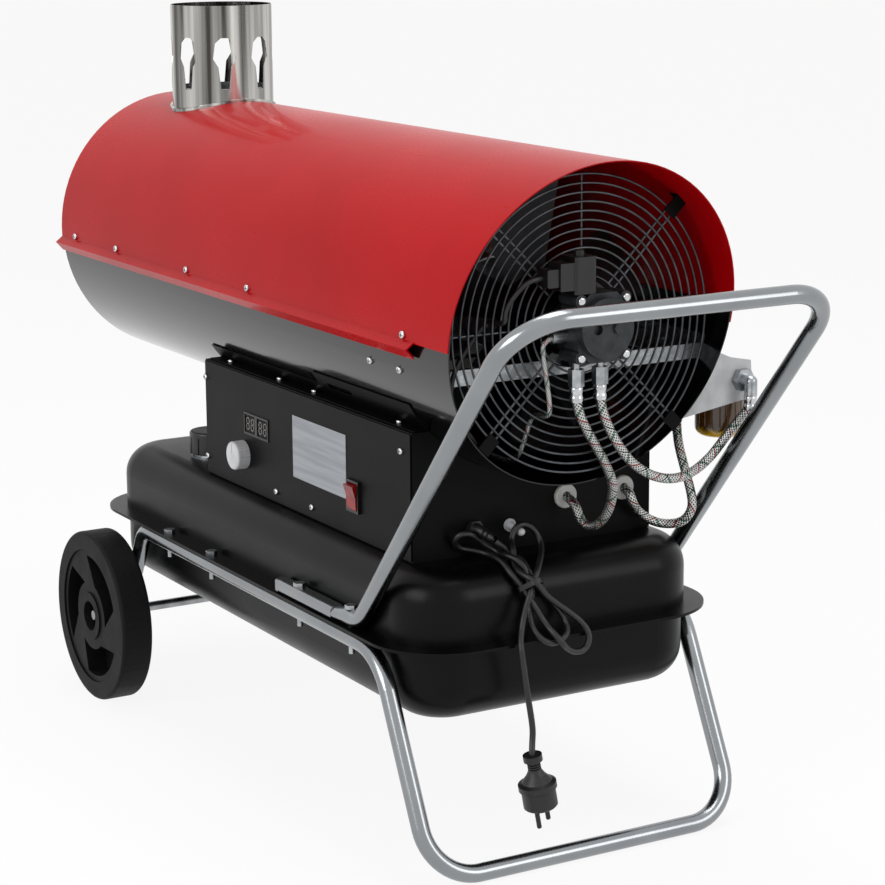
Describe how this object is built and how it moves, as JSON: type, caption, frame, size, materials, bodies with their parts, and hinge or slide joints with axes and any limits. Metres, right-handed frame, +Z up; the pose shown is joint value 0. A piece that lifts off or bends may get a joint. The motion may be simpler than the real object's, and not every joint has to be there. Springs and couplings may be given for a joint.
{
  "type": "indirect-fired diesel heater",
  "caption": "Wheeled indirect-fired diesel heater: red and black drum with flue, control box, fuel tank and tube frame with handle",
  "frame": {"origin": "on the floor, under the middle of the heater's bounding box", "axes": "+X towards the handle and the air intake, +Y towards the fuel filter side, +Z up; the control panel faces -Y"},
  "size_m": [1.084, 0.448, 0.801],
  "materials": {
    "red_enamel": "gloss",
    "black_enamel": "gloss",
    "black_satin": "satin",
    "chromed_tube": "satin",
    "stainless": "gloss",
    "zinc_plate": "satin",
    "steel": "satin",
    "cast_alloy": "satin",
    "fan_alloy": "satin",
    "brass": "satin",
    "wheel_plastic": "matte",
    "black_plastic": "satin",
    "grey_plastic": "matte",
    "grommet_rubber": "matte",
    "cord_rubber": "matte",
    "red_rocker": "gloss",
    "board_green": "satin",
    "hose_braid": "satin",
    "amber_bowl": "gloss",
    "plate_blank": "satin",
    "ceramic": "matte"
  },
  "bodies": {
    "heater": {"axle": "steel", "axle_locks": "zinc_plate", "burner_nozzle": "brass", "burner_tube": "steel", "circuit_board": "board_green", "combustion_chamber": "stainless", "control_box": "black_satin", "control_panel": "black_satin", "cord_gland": "black_plastic", "cord_hook": "grey_plastic", "cord_plug": "cord_rubber", "cord_tie": "cord_rubber", "display": "black_plastic", "drum_saddle": "black_satin", "electrodes": "ceramic", "filler_neck": "zinc_plate", "filter_bowl": "amber_bowl", "filter_bracket": "grey_plastic", "filter_head": "cast_alloy", "filter_union": "zinc_plate", "flue_collar": "stainless", "flue_pipe": "stainless", "frame_bolts": "zinc_plate", "grille_clips": "zinc_plate", "handle_frame": "chromed_tube", "heat_exchanger": "steel", "hose_grommets": "grommet_rubber", "ignition_transformer": "black_plastic", "intake_grille": "steel", "lower_frame": "chromed_tube", "lower_shell": "black_enamel", "motor_body": "black_enamel", "motor_bracket": "zinc_plate", "nozzle_hose": "cord_rubber", "outlet_cone": "black_satin", "panel_screws": "steel", "power_cord": "cord_rubber", "pump_body": "cast_alloy", "pump_fittings": "zinc_plate", "pump_screws": "steel", "rating_plate": "plate_blank", "return_hose": "hose_braid", "shell_screws": "steel", "solenoid": "black_plastic", "solenoid_cable": "cord_rubber", "solenoid_plug": "black_plastic", "suction_hose": "hose_braid", "switch_bezel": "black_plastic", "tank_hose": "hose_braid", "tank_lower": "black_satin", "tank_upper": "black_satin", "upper_shell": "red_enamel"},
    "rotor": {"fan": "fan_alloy", "motor_shaft": "steel", "pump_coupling": "steel"},
    "left_wheel": {"wheel_left": "wheel_plastic"},
    "right_wheel": {"wheel_right": "wheel_plastic"},
    "knob": {"thermostat_knob": "grey_plastic"},
    "rocker": {"rocker_switch": "red_rocker"},
    "cap": {"filler_cap": "black_plastic"}
  },
  "joints": [
    {"name": "left_wheel_spin", "type": "hinge", "parent": "heater", "child": "left_wheel", "pos_m": [-0.341, 0.205, 0.1], "axis": [0, 1, 0], "continuous": true},
    {"name": "right_wheel_spin", "type": "hinge", "parent": "heater", "child": "right_wheel", "pos_m": [-0.341, -0.205, 0.1], "axis": [0, 1, 0], "continuous": true},
    {"name": "fan_spin", "type": "hinge", "parent": "heater", "child": "rotor", "pos_m": [0.258, 0, 0.53], "axis": [1, 0, 0], "continuous": true},
    {"name": "knob_turn", "type": "hinge", "parent": "heater", "child": "knob", "pos_m": [-0.084, -0.148, 0.334], "axis": [0, -1, 0], "range_deg": [-270, 0]},
    {"name": "rocker_tilt", "type": "hinge", "parent": "heater", "child": "rocker", "pos_m": [0.168, -0.141, 0.339], "axis": [1, 0, 0], "range_deg": [-18, 0]},
    {"name": "cap_turn", "type": "hinge", "parent": "heater", "child": "cap", "pos_m": [-0.257, -0.1, 0.312], "axis": [0, 0, 1], "range_deg": [0, 90]}
  ]
}
